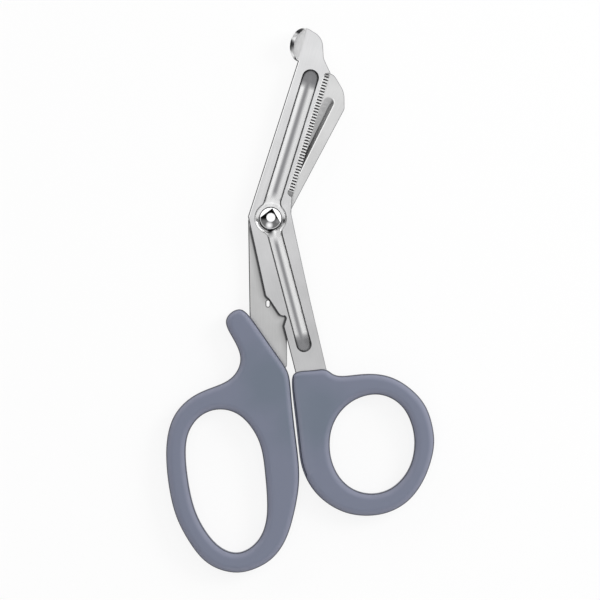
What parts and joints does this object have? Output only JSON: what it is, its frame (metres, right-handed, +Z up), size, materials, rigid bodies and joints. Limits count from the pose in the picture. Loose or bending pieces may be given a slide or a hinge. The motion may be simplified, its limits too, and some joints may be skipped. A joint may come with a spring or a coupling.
{
  "type": "bandage scissors",
  "caption": "Angled bandage scissors with a serrated blunt-footed blade over a plain blade, a domed pivot and moulded loop handles with a finger hook.",
  "frame": {"origin": "the flat end of the pivot screw, on the pivot's axis and in the plane that the scissors lie on", "axes": "+Z up along the pivot's axis towards the domed head, +Y along the scissors from the handles to the blade tips, +X towards the thumb handle's side"},
  "size_m": [0.0934, 0.1898, 0.0095],
  "materials": {
    "blade_steel": "satin",
    "pivot_steel": "polished",
    "handle_plastic": "matte"
  },
  "bodies": {
    "rear_half": {"rear_blade": "blade_steel", "finger_handle": "handle_plastic", "pivot_screw": "pivot_steel", "pivot_nut": "pivot_steel"},
    "front_half": {"front_blade": "blade_steel", "thumb_handle": "handle_plastic"}
  },
  "joints": [
    {"name": "pivot_hinge", "type": "hinge", "parent": "rear_half", "child": "front_half", "pos_m": [0, 0, 0.0042], "axis": [0, 0, 1], "range_deg": [0, 50]}
  ]
}
